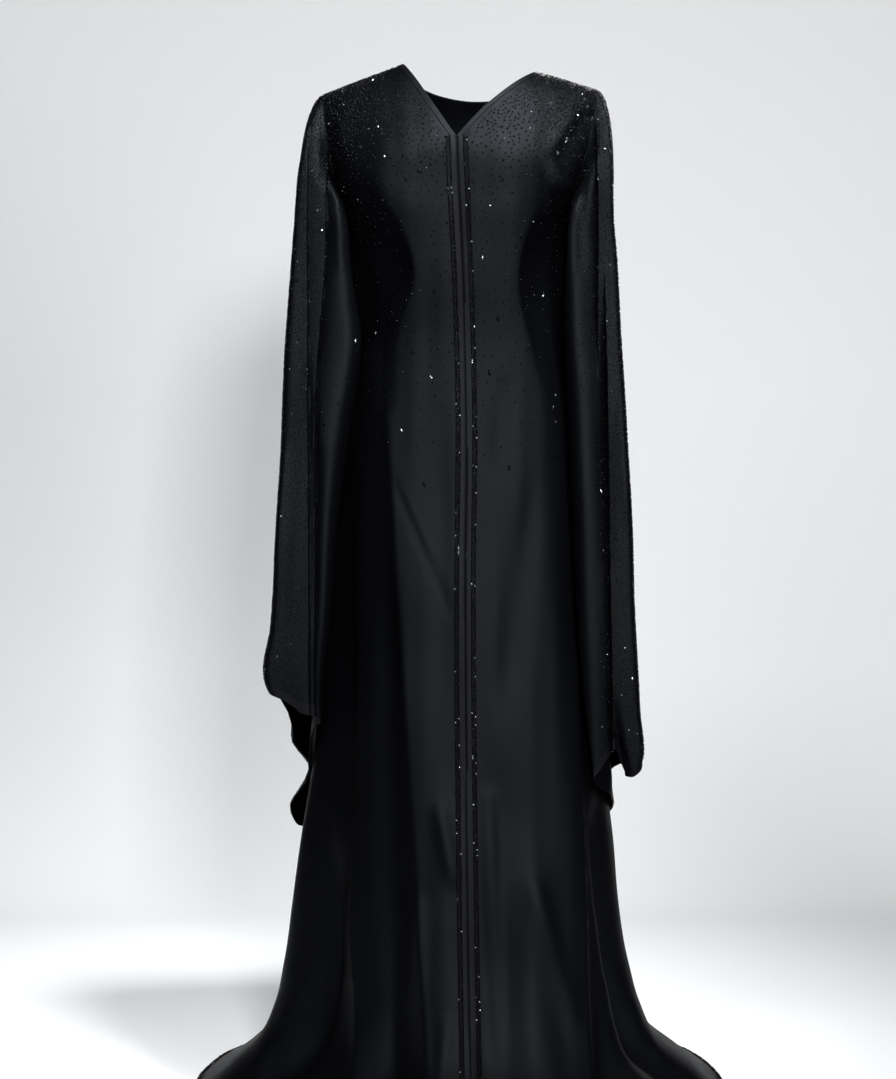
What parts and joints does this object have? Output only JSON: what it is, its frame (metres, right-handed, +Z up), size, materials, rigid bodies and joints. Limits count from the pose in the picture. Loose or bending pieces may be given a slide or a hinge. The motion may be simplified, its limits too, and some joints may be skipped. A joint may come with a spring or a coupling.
{
  "type": "abaya cloak",
  "caption": "Long open abaya cloak, hollow as worn: V neck, two fronts meeting edge to edge, wide pleated hanging sleeves and a flared hem that trails behind.",
  "frame": {"origin": "between the shoulders, at the height where the shoulder seams leave the neck, where the wearer's shoulders hold it up", "axes": "+Z up along the length, the front faces -Y, the wearer's left is at +X"},
  "size_m": [0.7726, 0.824, 1.4838],
  "materials": {
    "cloth": "soft satin crepe",
    "border": "plain satin",
    "beads": "black faceted glass with some silver"
  },
  "bodies": {
    "root": {"front_right": "cloth", "front_left": "cloth", "back": "cloth", "sleeve_right": "cloth", "sleeve_left": "cloth", "neck_band_right": "border", "neck_band_left": "border", "neck_band_back": "border", "bead_band_right": "beads", "bead_band_left": "beads"}
  },
  "joints": []
}
